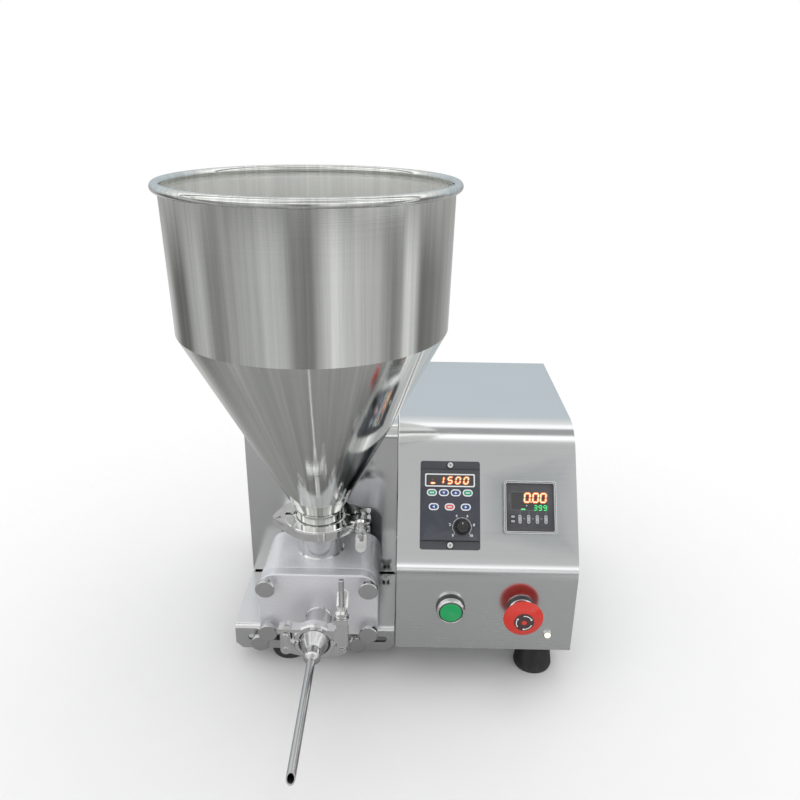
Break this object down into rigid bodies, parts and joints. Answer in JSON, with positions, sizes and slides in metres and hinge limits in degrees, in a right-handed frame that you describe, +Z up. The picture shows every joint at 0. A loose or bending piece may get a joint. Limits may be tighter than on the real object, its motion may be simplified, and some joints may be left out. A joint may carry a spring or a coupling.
{
  "type": "donut filling machine",
  "caption": "Bench-top donut filling machine: conical hopper clamped on a lobe pump with a long nozzle, driven from behind, beside a control cabinet.",
  "frame": {"origin": "on the table, under the middle of the machine's box", "axes": "+X to the machine's right, +Y to its back, +Z up"},
  "size_m": [0.4034, 0.4754, 0.5073],
  "materials": {
    "stainless": "brushed",
    "polished_steel": "polished",
    "cast_clamp": "polished",
    "pump_aluminium": "satin",
    "machined_steel": "machined",
    "case_iron": "painted",
    "gear_steel": "machined",
    "rotor_steel": "satin",
    "seal_rubber": "matte",
    "gasket_rubber": "matte",
    "foot_rubber": "matte",
    "black_plastic": "matte",
    "grey_plastic": "matte",
    "keypad_film": "satin",
    "display_glass": "gloss",
    "clear_frame": "gloss",
    "silicone_keys": "matte",
    "green_lens": "gloss",
    "red_head": "gloss",
    "bezel_metal": "satin",
    "lamp_metal": "polished",
    "fastener_steel": "bright"
  },
  "bodies": {
    "machine": {"control_cabinet": "stainless", "cabinet_rear_cover": "stainless", "drive_housing_cover": "stainless", "base_tray": "stainless", "rubber_feet": "foot_rubber", "case_screws": "fastener_steel", "screw_nut_plates": "machined_steel", "power_inlet": "black_plastic", "controller_case": "grey_plastic", "controller_keypad": "keypad_film", "controller_display": "display_glass", "counter_case": "grey_plastic", "counter_cover": "clear_frame", "counter_display": "display_glass", "counter_keypad": "silicone_keys", "start_button_bezel": "bezel_metal", "estop_collar": "black_plastic", "switch_blocks": "black_plastic", "indicator_lamp": "lamp_metal", "gearmotor": "case_iron", "gear_case": "case_iron", "shaft_bearings": "gear_steel", "pump_body": "pump_aluminium", "pump_case_ring": "pump_aluminium", "pump_cover": "pump_aluminium", "pump_seals": "seal_rubber", "cover_studs": "machined_steel", "hopper": "stainless", "inlet_tube": "polished_steel", "ferrule_gaskets": "gasket_rubber", "hopper_clamp_rear": "cast_clamp", "outlet_tube": "polished_steel", "nozzle": "polished_steel", "spout_clamp_lower": "cast_clamp", "clamp_pins": "machined_steel"},
    "drive_train": {"drive_shaft": "machined_steel", "shaft_coupling": "machined_steel", "drive_timing_gear": "gear_steel", "drive_rotor": "rotor_steel"},
    "driven_train": {"driven_shaft": "machined_steel", "driven_timing_gear": "gear_steel", "driven_rotor": "rotor_steel"},
    "hopper_clamp_half": {"hopper_clamp_front": "cast_clamp"},
    "hopper_bolt": {"hopper_swing_bolt": "machined_steel"},
    "hopper_nut": {"hopper_wing_nut": "cast_clamp"},
    "spout_clamp_half": {"spout_clamp_upper": "cast_clamp", "spout_clamp_link": "cast_clamp"},
    "spout_bolt": {"spout_swing_bolt": "machined_steel"},
    "spout_nut": {"spout_wing_nut": "cast_clamp"},
    "left_tray_screw": {"tray_screw_left": "polished_steel"},
    "right_tray_screw": {"tray_screw_right": "polished_steel"},
    "wing_screw": {"tray_wing_screw": "polished_steel"},
    "start_button": {"start_button_cap": "green_lens"},
    "stop_stem": {"estop_stem": "black_plastic"},
    "stop_head": {"estop_head": "red_head"},
    "dial": {"speed_dial": "black_plastic"},
    "upper_left_knob": {"cover_knob_upper_left": "polished_steel"},
    "upper_right_knob": {"cover_knob_upper_right": "polished_steel"},
    "lower_left_knob": {"cover_knob_lower_left": "polished_steel"},
    "lower_right_knob": {"cover_knob_lower_right": "polished_steel"}
  },
  "joints": [
    {"name": "drive_shaft_turn", "type": "hinge", "parent": "machine", "child": "drive_train", "pos_m": [-0.0414, 0.01965, 0.0835], "axis": [0, 1, 0], "continuous": true},
    {"name": "driven_shaft_turn", "type": "hinge", "parent": "machine", "child": "driven_train", "pos_m": [-0.0814, 0.01965, 0.0835], "axis": [0, 1, 0], "continuous": true},
    {"name": "upper_left_knob_turn", "type": "hinge", "parent": "machine", "child": "upper_left_knob", "pos_m": [-0.1139, -0.03735, 0.1102], "axis": [0, -1, 0], "continuous": true},
    {"name": "upper_right_knob_turn", "type": "hinge", "parent": "machine", "child": "upper_right_knob", "pos_m": [-0.0089, -0.03735, 0.1102], "axis": [0, -1, 0], "continuous": true},
    {"name": "lower_left_knob_turn", "type": "hinge", "parent": "machine", "child": "lower_left_knob", "pos_m": [-0.1139, -0.03735, 0.0552], "axis": [0, -1, 0], "continuous": true},
    {"name": "lower_right_knob_turn", "type": "hinge", "parent": "machine", "child": "lower_right_knob", "pos_m": [-0.0089, -0.03735, 0.0552], "axis": [0, -1, 0], "continuous": true},
    {"name": "left_tray_screw_turn", "type": "hinge", "parent": "machine", "child": "left_tray_screw", "pos_m": [-0.1257, -0.02235, 0.0308], "axis": [0, -1, 0], "continuous": true},
    {"name": "right_tray_screw_turn", "type": "hinge", "parent": "machine", "child": "right_tray_screw", "pos_m": [-0.021, -0.02235, 0.0308], "axis": [0, -1, 0], "continuous": true},
    {"name": "wing_screw_turn", "type": "hinge", "parent": "machine", "child": "wing_screw", "pos_m": [0.0063, 0.06165, 0.046], "axis": [0, 0, 1], "continuous": true},
    {"name": "hopper_bolt_swing", "type": "hinge", "parent": "machine", "child": "hopper_bolt", "pos_m": [-0.0181, 0.02685, 0.1555], "axis": [0, 0, 1], "range_deg": [0, 34]},
    {"name": "hopper_nut_travel", "type": "slide", "parent": "hopper_bolt", "child": "hopper_nut", "axis": [0, -1, 0], "range_m": [0, 0.009]},
    {"name": "hopper_clamp_opening", "type": "hinge", "parent": "machine", "child": "hopper_clamp_half", "pos_m": [-0.1083, 0.01495, 0.1555], "axis": [0, 0, -1], "range_deg": [0, 5.67]},
    {"name": "spout_bolt_swing", "type": "hinge", "parent": "machine", "child": "spout_bolt", "pos_m": [-0.0338, -0.06835, 0.0583], "axis": [0, 1, 0], "range_deg": [0, 60]},
    {"name": "spout_nut_travel", "type": "slide", "parent": "spout_bolt", "child": "spout_nut", "axis": [0, 0, 1], "range_m": [0, 0.024]},
    {"name": "spout_clamp_opening", "type": "hinge", "parent": "machine", "child": "spout_clamp_half", "pos_m": [-0.0904, -0.06835, 0.0586], "axis": [0, -1, 0], "range_deg": [0, 23.2]},
    {"name": "start_button_push", "type": "slide", "parent": "machine", "child": "start_button", "axis": [0, 1, 0], "range_m": [0, 0.0035], "stiffness_N_per_m": 250, "springref_m": -0.002},
    {"name": "stop_push", "type": "slide", "parent": "machine", "child": "stop_stem", "axis": [0, 1, 0], "range_m": [0, 0.0045]},
    {"name": "stop_twist", "type": "hinge", "parent": "stop_stem", "child": "stop_head", "pos_m": [0.1473, -0.06485, 0.0942], "axis": [0, 1, 0], "range_deg": [0, 40], "stiffness_Nm_per_rad": 0.02},
    {"name": "speed_dial_turn", "type": "hinge", "parent": "machine", "child": "dial", "pos_m": [0.0844, -0.02427, 0.17456], "axis": [0, 0.8192, -0.5736], "range_deg": [-150, 150]}
  ],
  "couplings": [
    {"joint": "driven_shaft_turn", "follows": "drive_shaft_turn", "ratio": -1},
    {"joint": "hopper_clamp_opening", "follows": "hopper_nut_travel", "rad_per_m": 10.8},
    {"joint": "spout_clamp_opening", "follows": "spout_nut_travel", "rad_per_m": 16.8}
  ]
}
